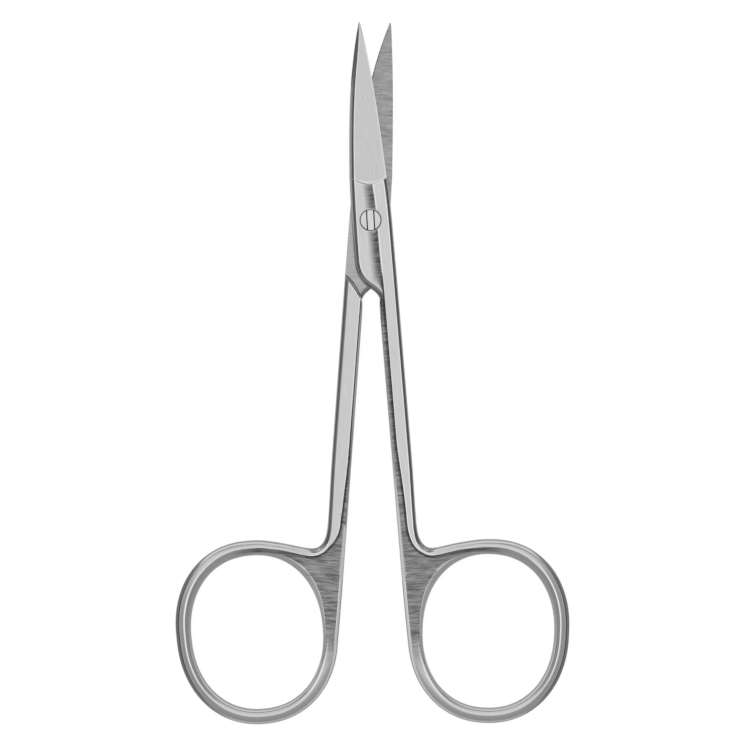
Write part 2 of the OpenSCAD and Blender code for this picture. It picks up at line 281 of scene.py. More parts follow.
def wire(run, rim, rims, crest, crisp):
    """Places and falls of the ring's wire, with a crest between its outer and inner bands."""
    bevel_top = band_fall + 0.02 + side_bevel_fall * crisp
    t = steps("rim")
    end = run - rim[0]
    ends = centre_places(run, rim)
    inner = np.concatenate([[0, 0], np.linspace(0, 1, ACROSS["hollow"] - 1)])
    band_power = mix(1.7, 1, crisp)
    crest_to = crest + crest_w
    band_at = mix(crest_to, end, inner_band)
    over_crest = crest + crest_w * np.minimum(np.arange(len(inner)) / 2, 1)
    band = flat_places(rims[1], crest)
    inner_fall = (inner_slope + 0.1 * crisp) * (band_at - crest_to)
    places = joined([rims[0] * t ** 2, mix(*rims, steps("bevel")), band,
                     over_crest + (band_at - crest_to) * inner, mix(band_at, end, steps("floor")), ends])
    falls = joined([bent(rim_fall, bevel_top + 0.06, bevel_top, t), mix(bevel_top, band_fall, steps("bevel")),
                    band_fall * ((crest - band) / (crest - rims[1])) ** band_power,
                    inner_fall * inner, inner_fall + inner_lip_fall * steps("floor"),
                    inner_fall + inner_lip_fall + centre_fall(run - ends, rim)])
    return places, falls


def side_bar(run, depth, rim):
    """Places and falls of the bar between the centre side and the hole, under the web."""
    lip, facet_to = SHANK_RIM[1], SHANK_RIM[0]
    end = run - rim[0]
    t = steps("rim")
    ends = centre_places(run, rim)
    a, b = end - 0.3, end - 0.15
    places = joined([lip * t ** 2, mix(lip, facet_to, steps("bevel")), flat_places(facet_to, a),
                     mix(a, b, steps("hollow")), mix(b, end, steps("floor")), ends])
    falls = joined([depth + bent(0.42, 0.09, 0.05, t), depth + mix(0.05, 0, steps("bevel")),
                    depth + 0 * steps("flat"), depth + 0 * steps("hollow"), depth + 0 * steps("floor"),
                    depth + centre_fall(run - ends, rim)])
    return places, falls


def slanted(slant):
    """Gives the place along a slanted row that lies at a width from its outer side."""
    return lambda width: width * slant


def reach_from(edge, outer, inner):
    """Gives the place along a row that lies at a width from the points of an edge."""
    t = np.linspace(0, 1, 120)
    line = outer + (inner - outer) * t[:, None]
    off = np.min(np.linalg.norm(line[:, None] - edge[None], axis=2), axis=1)
    off = np.maximum.accumulate(off - off[0]) + 1e-6 * t
    run = np.linalg.norm(inner - outer)
    return lambda width: float(np.interp(width, off, t * run))


def slant_to(curve, t, chord):
    """How much longer a step along the chord is than its distance from the curve."""
    d = curve(t + 0.01) - curve(t - 0.01)
    turn = abs(d[0] * chord[1] - d[1] * chord[0]) / (np.linalg.norm(d) * np.linalg.norm(chord))
    return 1 / max(0.33, turn)


# Columns of a row: place, heights of the two faces, their coarseness, which also carries painted shade, and
# their painted highlight, and the grain
X, Y, TOP, UNDER, COARSE_AND_SHADE, COARSE_AND_SHADE_UNDER, LINE, LINE_UNDER, GRAIN = range(9)


def row(outer, inner, bow, places, top, under, travel):
    """One row of points across the half. Top and under are each height, coarseness with painted shade, and
    painted highlight.
    """
    outer, inner = np.asarray(outer, float), np.asarray(inner, float)
    run = np.linalg.norm(inner - outer)
    p = places / run
    xy = outer + (inner - outer) * p[:, None]
    xy[:, 1] += bow * 4 * p * (1 - p)
    blank = np.ones(LANES + 1)
    return np.column_stack([xy, top[0] * blank, under[0] * blank, top[1] * blank, under[1] * blank,
                            top[2] * blank, under[2] * blank, places, travel * blank])


def across(flat, hollow_v, floor_v, centre_v, fade=0):
    """Values held over the rim, bevel and flat, then the hollow, the floor and the centre rim."""
    values = np.full(LANES + 1, float(flat))
    q = steps("hollow")[1:]
    values[RIDGE + 1:FLOOR_FROM + 1] = mix(floor_v, hollow_v, np.clip((1 - q) / max(fade, 0.01), 0, 1))
    values[FLOOR_FROM + 1:CENTRE_FROM + 1] = floor_v
    values[CENTRE_FROM + 1:] = centre_v
    return values


def edge_lines(outer, ridge, centre=0):
    """Painted highlight along the flat's outer edge, along the ridge, and along the centre rim's edge."""
    values = np.zeros(LANES + 1)
    values[[FLAT_FROM, FLAT_FROM + 1]] = outer
    values[[RIDGE - 1, RIDGE]] = ridge
    values[CENTRE_FROM] = centre
    return values


def ridge_line(off_ridge):
    """Painted highlight along the ridge of the inner face, which lies between the lanes."""
    return np.clip(1.4 - np.abs(off_ridge + 0.04) / 0.05, 0, 1)


def blade_row(u, blade):
    """Blade at u, which is 0 at the heel and 1 at the tip. It rises from its edge to its spine."""
    spine = -blade["spine"] + blade["taper"] * u + blade["sweep"] * u ** 3
    tip_spine = -blade["spine"] + blade["taper"] + blade["sweep"]
    fall = edge_x - tip_w - tip_spine
    y = mix(heel_y, tip_y, u)
    outer = np.array([edge_x - blade["edge_taper"] * u - (fall - blade["edge_taper"]) * u ** 3, y])
    inner = np.array([spine, y + heel_slant * (1 - u)])
    run = np.linalg.norm(inner - outer)
    k = 1 - (1 - min(1.0, run / full_rim_w)) ** 2
    start, end = edge_bevel * k, run - spine_rim[1] * k
    round_from = run - spine_rim[0] * k
    full = edge_x + blade["spine"] - spine_rim[1] - edge_bevel
    rise = (spine_t - edge_t * 2) * (end - start) / full
    thick = edge_t * 2 + rise
    t = np.linspace(0, 1, FLAT_FROM + 1)
    s = np.linspace(0, 1, CENTRE_FROM - FLAT_FROM - 1)
    strip = min(line_w / (end - start), 0.1)
    s = np.concatenate([s[:-1] * (1 - 1.5 * strip), 1 - strip * np.array([1.5, 1, 0])])
    e = steps("centre")
    on_bevel, on_round = np.clip(4 * e, 0, 1), np.clip((4 * e - 1) / 3, 0, 1)
    rounded = thick - bevel_fall * k
    places = joined([start * t, mix(start, end, s), mix(end, round_from, on_bevel)
                     + (run - round_from) * (1 - (1 - on_round) ** 2)])
    tops = joined([mix(1.8 * edge_t, 2 * edge_t, t), mix(2 * edge_t, thick, s),
                   mix(thick, rounded, on_bevel)
                   + bent(0, -0.34 * k, face_h + 0.12 * thick - rounded, on_round)])
    q = places / run
    bottoms = face_h + hollow * 4 * q * (1 - q) * min(1.0, 6 * u * (1 - u))
    line = np.zeros(LANES + 1)
    # Painted highlight along the edge bevel, along the spine's rim, and across the heel row
    line[:FLAT_FROM + 1] = 0.35
    line[[CENTRE_FROM - 1, CENTRE_FROM]] = 0.8
    line = np.maximum(line, across(0.5, 0.5, 0.5, 0) if u == 0 else 0)
    # Coarse marks on the ground face; the rims get a darker tone as painted shade
    streaks_and_shade = np.full(LANES + 1, 0.75)
    streaks_and_shade[:FLAT_FROM] = 1.2
    return row(outer, inner, -heel_bow * (1 - u) ** 6, places, (tops, 0, line), (bottoms, streaks_and_shade, 0), y)


def box_row(v, blade):
    """Box from the blade's heel down to where its foot begins."""
    w = 1 - v
    outer = [box_out - heel_notch * w ** 3, mix(heel_y - box_step, foot_from[0], v)]
    inner = [-box_in + (box_in - blade["spine"]) * w * w,
             mix(heel_y - box_step + heel_slant, foot_from[1], v)]
    run = np.hypot(inner[0] - outer[0], inner[1] - outer[1])
    slant = run / abs(inner[0] - outer[0])
    depth = mix(mid_z - spine_t, box_flute_d, soft(2 * v))
    rim = mix(HEEL_RIM, BOX_RIM, soft(3 * v))
    places, falls = fluted(run, slanted(slant), box_ridge_w, box_hollow_w, depth, rim)
    # Painted highlight along the flat's edges and the ridge, and across the heel row
    line = edge_lines(1, 0.8, 0.6) if v > 0 else across(0.4, 0.4, 0.4, 0)
    # Painted shade: the hollow beside the ridge is darker than the coarse tone, fading towards the floor
    return row(outer, inner, -heel_bow * w ** 3, places,
               (mid_z - falls, across(0, 1.1, 0, 0, 0.65), line), (face_h, mix(0.75, 0.5, soft(2.5 * v)), 0),
               outer[1])


def foot_side(v):
    """Centre side of the box's foot, which curves in to the corner beside the shank."""
    return bezier(np.array([-box_in, foot_from[1]]), np.array([-box_in, -shoulder_y - 1.4]),
                  box_corner + [-0.5, 1.65], box_corner, v)


def foot_row(v):
    """Foot of the box, down to the shoulder. The edge of its ground face is turned near the corner."""
    outer = np.array([mix(box_out, shank_out, v), mix(foot_from[0], -shoulder_y, v)])
    inner = foot_side(v)
    run = np.linalg.norm(inner - outer)
    slant = run / abs(inner[0] - outer[0])
    places, falls = fluted(run, slanted(slant), mix(box_ridge_w, ridge_w, v), box_hollow_w, box_flute_d,
                           mix(BOX_RIM, FOOT_RIM, soft(1.5 * v)))
    near_edge = np.clip(1 - (run - places) / turned_edge_w, 0, 1)
    turned_edge = turned_edge_h * soft(2 * v - 0.4) * near_edge ** 1.5
    # Painted shade: the hollow beside the ridge is darker than the coarse tone, fading towards the floor
    return row(outer, inner, foot_bow * v, places,
               (mid_z - shank_drop * v - falls, across(0, 1.1, 0, 0, mix(0.65, 0.9, v)),
                edge_lines(1, 0.8, 0.6 + 0.4 * soft(8 * v - 5.6))),
               (face_h + turned_edge, 0.5, 0), outer[1])


def shank_row(v):
    """Shank from the shoulder down to the fillet, with its own ridge on the inner face."""
    s = 1 - v
    outer = np.array([shank_out - shank_waist * soft(4 * v - 3), mix(shank_top_out[1], shank_low, v)])
    inner = np.array([centre_gap + corner_in / 2 * s ** 40, mix(shank_top_in[1], shank_low - fan_step, v)])
    run = np.linalg.norm(inner - outer)
    slant = run / abs(inner[0] - outer[0])
    height = shank_t / 2 + (mid_z - shank_drop - shank_t / 2) * soft(1 - 2.2 * v)
    ridge = mix(ridge_w, fillet_ridge_w + 0.3, soft(2.6 * v - 1.6))
    join = soft(1 - 8 * v)
    depth = mix(shank_flute_d, box_flute_d, join)
    rim = mix(mix(NARROW_RIM, SHANK_RIM, soft(3 * v - 2)), FOOT_RIM, join)
    places, falls = fluted(run, slanted(slant), ridge, mix(0.5, shank_hollow_w, v), depth, rim)
    along = outer[1] - shank_top_out[1]
    # Painted shade: the centre rim just below the shoulder is darkened past the coarse tone
    coarse_and_shade = across(0, 1, 1, 1.3 * soft(1 + along / 0.9))
    line = edge_lines(1, mix(0.5, 1, v), 0.6 * soft(4 * v))
    face_ridge = np.interp(v, INNER_RIDGE[0], INNER_RIDGE[1])
    face_places, face_falls = fluted(run, slanted(slant), face_ridge, 0.3, mix(0.14, shank_flute_d, v),
                                     NARROW_RIM, inner_face_rim)
    under = np.interp(places, face_places, face_falls)
    off_ridge = places / slant - face_ridge
    off_centre = np.clip((run - places - 0.1) / 0.1, 0, 1)
    under_coarse_and_shade = np.clip(off_ridge / 0.05, 0, 1) * off_centre * soft(4 * v - 1.8)
    under_line = edge_lines(1, 0) + ridge_line(off_ridge)
    # Painted highlight over the shank's first rows under the shoulder's wall
    under_line = np.maximum(under_line, np.clip(2 + along / 0.07, 0, 1))
    return row(outer, inner, shank_bow * s ** 8, places, (height - falls, coarse_and_shade, line),
               (under - height, under_coarse_and_shade, under_line), outer[1])


def web_side(v):
    """Outer side of the shank's end, which curves out into the fillet."""
    x = shank_out - shank_waist
    return bezier(np.array([x, shank_low]), np.array([x, ring_top + 1.3]), fillet_mid + [-0.5, 0.62],
                  fillet_mid, v)


def web_row(v, lean, edge):
    """Web between the shank and the ring, whose rows fan out round the fillet."""
    outer = web_side(v)
    foot_y = hole_point(web_a, lean)[1] - 0.3
    inner = np.array([centre_gap, mix(shank_low - fan_step, foot_y, v)])
    run = np.linalg.norm(inner - outer)
    reach = reach_from(edge, outer, inner)
    centre_slant = run / abs(inner[0] - outer[0])
    rim = SHANK_RIM * [centre_slant, centre_slant, 1, 1, 1]
    rims = [mix(outer_rim[k], fillet_rim[k], soft(v)) for k in (0, 1)]
    depth, height = mix(shank_flute_d, web_d, v), shank_t / 2
    places, falls = fluted(run, reach, mix(fillet_ridge_w + 0.3, fillet_ridge_w, v), shank_hollow_w, depth,
                           rim, rims)
    coarse_and_shade, line = across(0, 1, 1, 0), edge_lines(1, 1, 0.6)
    face_ridge = mix(INNER_RIDGE[1][-1], fillet_ridge_w, soft(1.2 * v))
    face_rims = [mix(inner_face_rim[k], fillet_rim[k], soft(v)) for k in (0, 1)]
    face_places, face_falls = fluted(run, reach, face_ridge, mix(0.3, shank_hollow_w, v), depth, rim,
                                     face_rims)
    under = np.interp(places, face_places, face_falls)
    off_ridge = places - reach(face_ridge)
    under_coarse_and_shade = np.minimum(coarse_and_shade + (off_ridge < 0.1), 1) * np.clip(off_ridge / 0.05, 0, 1)
    under_line = edge_lines(1, 0, 0.6) + ridge_line(off_ridge)
    return row(outer, inner, 0, places, (height - falls, coarse_and_shade, line),
               (under - height, under_coarse_and_shade, under_line), outer[1])


def hole_point(t, lean):
    """Edge of the finger hole at the angle t: a leaning oval with slightly squared corners."""
    p = 2 / hole_power
    u = hole_w * math.copysign(abs(math.cos(t)) ** p, math.cos(t))
    v = hole_h * math.copysign(abs(math.sin(t)) ** p, math.sin(t))
    return np.array([ring_x + u * math.cos(lean) + v * math.sin(lean),
                     -ring_y - u * math.sin(lean) + v * math.cos(lean)])


def wire_side(t, lean):
    """Outer side of the ring's wire, an even width from the hole with a swell at its shoulder."""
    d = hole_point(t + 0.01, lean) - hole_point(t - 0.01, lean)
    out = np.array([d[1], -d[0]]) / np.linalg.norm(d)
    swell = wire_swell * math.sin(2 * t) if 0 < t < math.pi / 2 else 0
    return hole_point(t, lean) + out * (wire_w + swell)


def ring_side(t, lean):
    """Outer side of the ring: the shelf under the fillet, the wire, and the straight centre side."""
    if t > shelf_a:
        start = wire_side(shelf_a, lean)
        v = (web_a - t) / (web_a - shelf_a)
        return bezier(fillet_mid, fillet_mid + [1, -1.12], start + [-4.53, -0.17], start, v)
    if t < side_a:
        start = wire_side(side_a, lean)
        v = (t + full_turn - web_a) / (side_a + full_turn - web_a)
        foot_y = hole_point(web_a, lean)[1] - 0.3
        return np.array([mix(centre_gap, start[0], v * v), mix(foot_y, start[1], v)])
    return wire_side(t, lean)


def rising(t, span):
    return soft((t - math.radians(span[0])) / math.radians(span[1]))


def falling(t, span):
    return soft((math.radians(span[0]) - t) / math.radians(span[1]))


def fillet_edge(lean):
    """Points down the end of the shank's outer side and along the top of the ring."""
    down = [web_side(v) for v in np.linspace(-0.2, 1, 120)]
    along = [ring_side(t, lean) for t in np.linspace(web_a, math.radians(60), 200)]
    return np.array(down + along)


def ring_row(j, lean, travel, edge):
    """One row round the ring: a blend of the web, the wire and the bar beside the hole."""
    t = web_a - j * full_turn / RING_ROWS
    outer, inner = ring_side(t, lean), hole_point(t, lean)
    run = np.linalg.norm(inner - outer)
    hole_slant = slant_to(lambda u: hole_point(u, lean), t, inner - outer)
    a, c = rising(t, WEB_SPAN), falling(t, BAR_SPAN)
    b = 1 - a - c
    by_bar = soft((side_a - t) / (side_a + full_turn - web_a))
    height = mix(wire_t, shank_t, a + c) / 2
    rim = mix(WIRE_RIM, HOLE_RIM, a + by_bar) * [hole_slant, hole_slant, 1, 1, 1]
    on_fillet = rising(t, SHELF_SPAN)
    crisp = falling(abs(t), SIDE_SPAN)
    wire_rims = [mix(wire_rim[k], side_rim[k], crisp) for k in (0, 1)]
    rims = [mix(wire_rim[k], fillet_rim[k], on_fillet) for k in (0, 1)]
    crest_at = wire_crest + 0.3 * falling(t, CREST_IN) - 0.22 * rising(t, CREST_OUT)
    reach = reach_from(edge, outer, inner) if a > 0 else slanted(1)
    parts = [fluted(run, reach, fillet_ridge_w, shank_hollow_w, web_d, rim, rims, on_fillet),
             wire(run, rim, wire_rims, crest_at, crisp), side_bar(run, web_d, rim)]
    places = sum(w * part[0] for w, part in zip((a, b, c), parts))
    falls = sum(w * part[1] for w, part in zip((a, b, c), parts))
    bar_coarse_and_shade = across(1, 1, 1, 0)
    bar_coarse_and_shade[:FLAT_FROM] = 0
    coarse_and_shade = rising(t, WEB_MARKS) * across(0, 1, 1, 0) + falling(t, BAR_MARKS) * bar_coarse_and_shade
    # Painted highlight along the ring's crest and edges
    crest = edge_lines(0.8 * crisp, 0)
    crest[RIDGE - 1:RIDGE + 3] = 0.15 + 0.7 * falling(abs(t), CREST_LINE)
    crest += 0.75 * edge_lines(0, 1) * falling(t, CREST_END)
    line = a * edge_lines(on_fillet, mix(0.4, 1, on_fillet), 1) + b * crest + c * edge_lines(0.9, 0, 1)
    return row(outer, inner, 0, places, (height - falls, coarse_and_shade, line), (falls - height, coarse_and_shade, line),
               travel)


def shoulder_rows(foot, shank):
    """Rows of the wall that rises from the flat ground face to the shank, with a ledge part way up."""
    ledge_at, ledge_w, ledge_share = 0.58, 0.13, 0.92
    t = np.linspace(0, 1, 8 * WALL_ROWS + 1)
    slope = np.clip(t / 0.4, 0, 1) ** 1.5 * np.clip((1 - t) / 0.22, 0, 1) ** 0.7
    slope *= 1 - ledge_share * np.exp(-((t - ledge_at) / ledge_w) ** 2)
    risen = np.cumsum(slope)
    risen = (risen - risen[0]) / (risen[-1] - risen[0])
    rows = []
    for i in range(1, WALL_ROWS):
        r = mix(foot, shank, i / WALL_ROWS)
        r[:, UNDER] = mix(foot[:, UNDER], shank[:, UNDER], risen[8 * i])
        r[:, COARSE_AND_SHADE_UNDER] = 0
        # Painted highlight on the middle rows of the shoulder's wall
        r[:, LINE_UNDER] = 1 if 0.45 < i / WALL_ROWS < 0.75 else 0
        rows.append(r)
    return rows


def limb_rows(blade, lean, edge):
    """All rows from the tip to the last of the web, closer together at the tip and the shoulder."""
    rows = [blade_row(1 - (i / BLADE_ROWS) ** 1.15, blade) for i in range(BLADE_ROWS + 1)]
    rows += [box_row(i / BOX_ROWS, blade) for i in range(BOX_ROWS + 1)]
    rows += [foot_row(i / FOOT_ROWS) for i in range(1, FOOT_ROWS + 1)]
    rows += shoulder_rows(rows[-1], shank_row(0))
    rows += [shank_row((i / SHANK_ROWS) ** 1.5) for i in range(SHANK_ROWS + 1)]
    rows += [web_row(i / WEB_ROWS, lean, edge) for i in range(1, WEB_ROWS + 1)]
    return rows


def ring_rows(lean, travel, edge):
    """All rows round the ring. The grain's travel is measured along their ridge."""
    rows = [ring_row(0, lean, travel, edge)]
    for j in range(1, RING_ROWS + 1):
        r = ring_row(j, lean, travel, edge)
        travel -= np.linalg.norm(r[RIDGE, :2] - rows[-1][RIDGE, :2])
        r[:, GRAIN + 1] = travel
        rows.append(r)
    return rows


def web_corner(limb_end, first, last, lean):
    """Rows of the web's corner, between the last web row and the two ends of the ring."""
    share = last[:, GRAIN] / last[-1, GRAIN]
    hole = np.array([hole_point(web_a + math.radians(k), lean) for k in range(-12, 50)])
    rows = []
    for i in range(1, LANES):
        t = np.interp(np.arange(1, i) / i, np.arange(LANES + 1) / LANES, share)[:, None]
        r = mix(limb_end[i], first[i], t)
        arms = np.array([limb_end[i, :2], first[i, :2]]) - first[0, :2]
        turns = np.arctan2(arms[:, 1], arms[:, 0])
        lengths = np.linalg.norm(arms, axis=1)
        turn, arm = mix(turns[0], turns[1], t), mix(lengths[0], lengths[1], t * t)
        arc = first[0, :2] + arm * np.hstack([np.cos(turn), np.sin(turn)])
        r[:, :2] = mix(arc, r[:, :2], soft((i - RIDGE) / (LANES - RIDGE)))
        to_hole = np.min(np.linalg.norm(hole[None] - r[:, None, :2], axis=2), axis=1)
        to_side = r[:, X] - centre_gap
        fall = (shank_t / 2 - limb_end[min(i, FLOOR_FROM), TOP] + centre_fall(to_hole, HOLE_RIM)
                + centre_fall(to_side, SHANK_RIM))
        r[:, TOP] = shank_t / 2 - fall
        r[:, UNDER] = fall - shank_t / 2
        r[:, COARSE_AND_SHADE:COARSE_AND_SHADE_UNDER + 1] = 0
        if i > RIDGE:
            on_web = np.clip((to_side - 0.29) / 0.07, 0, 1) * np.clip((to_hole - 0.6) / 0.15, 0, 1)
            r[:, COARSE_AND_SHADE] = r[:, COARSE_AND_SHADE_UNDER] = on_web
            off_line = np.minimum(np.abs(to_hole - HOLE_RIM[0]), np.abs(to_side - SHANK_RIM[0]))
            r[:, LINE] = r[:, LINE_UNDER] = 0.8 * np.clip(1.3 - off_line / 0.07, 0, 1)
        rows.append(r)
    return rows


def half_plan(blade, lean, name):
    """Plan of a half as a flat mesh that carries the heights of its two faces."""
    edge = fillet_edge(lean)
    limb = limb_rows(blade, lean, edge)
    ring = ring_rows(lean, limb[-1][0, GRAIN + 1], edge)
    corner = web_corner(limb[-1], ring[0], ring[-1], lean)
    n = len(limb) - 1
    ring_at = (n + 1) * (LANES + 1)
    corner_at = ring_at + (RING_ROWS + 1) * (LANES + 1)
    points = np.vstack(limb + ring + corner)

    def limb_id(s, lane):
        return s * (LANES + 1) + lane

    def ring_id(j, lane):
        if lane == 0 and j == 0:
            return limb_id(n, 0)
        if lane == 0 and j == RING_ROWS:
            return limb_id(n, LANES)
        if lane == LANES and j == RING_ROWS:
            return ring_at + LANES
        return ring_at + j * (LANES + 1) + lane

    def corner_id(i, j):
        if i == LANES:
            return ring_id(RING_ROWS, j)
        if j == 0:
            return limb_id(n, i)
        if j == i:
            return ring_id(0, i)
        return corner_at + (i - 1) * (i - 2) // 2 + j - 1

    faces = []
    for rows, point_id in ((n, limb_id), (RING_ROWS, ring_id)):
        for s in range(rows):
            for lane in range(LANES):
                faces.append((point_id(s, lane), point_id(s, lane + 1),
                              point_id(s + 1, lane + 1), point_id(s + 1, lane)))
    for i in range(LANES):
        for j in range(i + 1):
            faces.append((corner_id(i, j), corner_id(i + 1, j + 1), corner_id(i + 1, j)))
        for j in range(i):
            faces.append((corner_id(i, j), corner_id(i, j + 1), corner_id(i + 1, j + 1)))
    used = sorted({k for face in faces for k in face})
    place = {k: i for i, k in enumerate(used)}
    points = points[used]
    faces = [[place[k] for k in face] for face in faces]

    mesh = bpy.data.meshes.new(name)
    flat = np.column_stack([points[:, :2], np.zeros(len(points))])
    mesh.from_pydata([tuple(p) for p in flat], [], faces)
    # The painted highlight and the coarse marks with their painted shade are carried as point attributes
    for label, column in (("top", TOP), ("bottom", UNDER), ("coarse_and_shade", COARSE_AND_SHADE),
                          ("coarse_and_shade_under", COARSE_AND_SHADE_UNDER), ("painted_highlight", LINE), ("painted_highlight_under", LINE_UNDER)):
        layer = mesh.attributes.new(label, "FLOAT", "POINT")
        layer.data.foreach_set("value", np.ascontiguousarray(points[:, column]))
    grain = mesh.uv_layers.new(name="grain")
    corners = np.empty(len(mesh.loops), np.int32)
    mesh.loops.foreach_get("vertex_index", corners)
    grain.data.foreach_set("uv", points[corners][:, GRAIN:GRAIN + 2].ravel())
    return mesh


def feed(tree, node, feeds):
    """Gives a node's inputs their values, or the outputs that they take them from."""
    for socket, value in feeds.items():
        if isinstance(value, bpy.types.NodeSocket):
            tree.links.new(value, node.inputs[socket])
        else:
            node.inputs[socket].default_value = value


def new_node(tree, kind, feeds=None, **settings):
    node = tree.nodes.new(kind)
    for key, value in settings.items():
        setattr(node, key, value)
    feed(tree, node, feeds or {})
    return node


def new_group(name, kind, takes, gives):
    """Starts a node group with its named sockets, and hands out its two ends."""
    group = bpy.data.node_groups.new(name, kind)
    for in_out, sockets in (("INPUT", takes), ("OUTPUT", gives)):
        for label, what in sockets.items():
            group.interface.new_socket(label, in_out=in_out, socket_type="NodeSocket" + what)
    return group, group.nodes.new("NodeGroupInput").outputs, group.nodes.new("NodeGroupOutput")


def finish_tree(tree, shape, steel, result):
    """Ends a tree with its shape made real and its steel set."""
    real = new_node(tree, "GeometryNodeRealizeInstances", {0: shape})
    ended = new_node(tree, "GeometryNodeSetMaterial", {"Geometry": real.outputs[0], "Material": steel})
    feed(tree, result, {0: ended.outputs[0]})


def half_tree():
    """Gives a plan its two faces, closes its sides, and cuts the bores for the screw."""
    tree, given, result = new_group(
        "half_forging", "GeometryNodeTree",
        {"Plan": "Geometry", "Stem bore radius": "Float", "Head bore radius": "Float",
         "Head seat height": "Float", "Steel": "Material"}, {"Half": "Geometry"})

    # The plan is lifted by one unit, so that the height tells the two faces apart
    up = new_node(tree, "ShaderNodeCombineXYZ", {"Z": 1})
    lift = new_node(tree, "GeometryNodeExtrudeMesh", {"Mesh": given["Plan"], "Offset": up.outputs[0],
                                                      "Offset Scale": 1, "Individual": False}, mode="FACES")
    under = new_node(tree, "GeometryNodeFlipFaces", {"Mesh": given["Plan"]})
    both = new_node(tree, "GeometryNodeJoinGeometry", {0: under.outputs[0]})
    feed(tree, both, {0: lift.outputs["Mesh"]})
    closed = new_node(tree, "GeometryNodeMergeByDistance", {"Geometry": both.outputs[0], "Distance": 0.001})
    spot = new_node(tree, "GeometryNodeInputPosition")
    parts = new_node(tree, "ShaderNodeSeparateXYZ", {0: spot.outputs[0]})
    is_top = new_node(tree, "ShaderNodeMath", {0: parts.outputs["Z"], 1: 0.5}, operation="GREATER_THAN")

    def carried(label):
        read = new_node(tree, "GeometryNodeInputNamedAttribute", {"Name": label}, data_type="FLOAT")
        return read.outputs["Attribute"]

    def by_side(under_label, top_label):
        side = new_node(tree, "ShaderNodeMix", {"Factor": is_top.outputs[0], "A": carried(under_label),
                                                "B": carried(top_label)}, data_type="FLOAT")
        return side.outputs["Result"]

    kept = closed
    for label in ("coarse_and_shade", "painted_highlight"):
        value = by_side(label + "_under", label)
        kept = new_node(tree, "GeometryNodeStoreNamedAttribute",
                        {"Geometry": kept.outputs[0], "Name": label, "Value": value},
                        data_type="FLOAT", domain="POINT")
    place = new_node(tree, "ShaderNodeCombineXYZ", {"X": parts.outputs["X"], "Y": parts.outputs["Y"],
                                                    "Z": by_side("bottom", "top")})
    shaped = new_node(tree, "GeometryNodeSetPosition", {"Geometry": kept.outputs[0],
                                                        "Position": place.outputs[0]})

    depth = 4 * joint_t

    def bore(radius, low_z):
        cutter = new_node(tree, "GeometryNodeMeshCylinder", {"Vertices": ROUND_SIDES, "Depth": depth,
                                                             "Radius": radius})
        height = new_node(tree, "ShaderNodeMath", {0: low_z, 1: depth / 2}, operation="ADD")
        offset = new_node(tree, "ShaderNodeCombineXYZ", {"Z": height.outputs[0]})
        raised = new_node(tree, "GeometryNodeTransform", {"Geometry": cutter.outputs["Mesh"],
                                                          "Translation": offset.outputs[0]})
        return raised.outputs[0]

    cut = new_node(tree, "GeometryNodeMeshBoolean", {0: shaped.outputs[0]}, operation="DIFFERENCE")
    feed(tree, cut, {1: bore(given["Stem bore radius"], -depth / 2)})
    feed(tree, cut, {1: bore(given["Head bore radius"], given["Head seat height"])})
    finish_tree(tree, cut.outputs[0], given["Steel"], result)
    return tree


def made_plain(name, mesh, tree, values, smooth_to, place):
    """Runs a tree on a mesh in millimetres and puts the result in its place as a plain object."""
    carrier = bpy.data.objects.new(name + "_plan", mesh)
    bpy.context.scene.collection.objects.link(carrier)
    modifier = carrier.modifiers.new("shape", "NODES")
    modifier.node_group = tree
    for item in tree.interface.items_tree:
        if item.in_out == "INPUT" and item.name in values:
            modifier[item.identifier] = values[item.name]
    shown = carrier.evaluated_get(bpy.context.evaluated_depsgraph_get())
    plain = bpy.data.meshes.new_from_object(shown)
    carrier.modifiers.remove(modifier)
    bpy.data.objects.remove(carrier)
    plain.name = name
    for label in ("top", "bottom", "coarse_and_shade_under", "painted_highlight_under"):
        if label in plain.attributes:
            plain.attributes.remove(plain.attributes[label])
    plain.shade_smooth()
    plain.set_sharp_from_angle(angle=math.radians(smooth_to))
    plain.transform(Matrix.Scale(MM, 4) @ place)
    piece = bpy.data.objects.new(name, plain)
    bpy.context.scene.collection.objects.link(piece)
    return piece


def marks_group():
    """Grinding marks: fine lines along one direction, as a value between 0 and 1."""
    group, given, result = new_group(
        "grinding_marks", "ShaderNodeTree",
        {"Place": "Vector", "Lines per unit": "Float", "Line length": "Float", "Softness": "Float"},
        {"Marks": "Float"})
    parts = new_node(group, "ShaderNodeSeparateXYZ", {0: given["Place"]})
    fine = new_node(group, "ShaderNodeMath", {0: parts.outputs["X"], 1: given["Lines per unit"]},
                    operation="MULTIPLY")
    long = new_node(group, "ShaderNodeMath", {0: parts.outputs["Y"], 1: given["Line length"]},
                    operation="DIVIDE")
    place = new_node(group, "ShaderNodeCombineXYZ", {"X": fine.outputs[0], "Y": long.outputs[0]})
    noise = new_node(group, "ShaderNodeTexNoise", {"Vector": place.outputs[0], "Scale": 1, "Detail": 3,
                                                   "Roughness": given["Softness"]})
    spread = new_node(group, "ShaderNodeMapRange", {"Value": noise.outputs["Fac"], "From Min": 0.34,
                                                    "From Max": 0.66})
    feed(group, result, {0: spread.outputs["Result"]})
    return group


grinding = marks_group()


def marks_on(tree, place, per_unit, length, softness):
    marks = new_node(tree, "ShaderNodeGroup", {"Place": place, "Lines per unit": per_unit,
                                               "Line length": length, "Softness": softness},
                     node_tree=grinding)
    return marks.outputs["Marks"]


def bare_steel(name):
    """A plain metal, with its node tree and its shader."""
    steel = bpy.data.materials.new(name)
    steel.use_nodes = True
    shader = steel.node_tree.nodes["Principled BSDF"]
    shader.inputs["Metallic"].default_value = 1
    return steel, steel.node_tree, shader


def in_millimetres(tree, here, turn):
    """Object coordinates in millimetres, turned about Z."""
    return new_node(tree, "ShaderNodeMapping", {"Vector": here.outputs["Object"], "Rotation": (0, 0, turn),
                                                "Scale": (1 / MM, 1 / MM, 1 / MM)}).outputs[0]


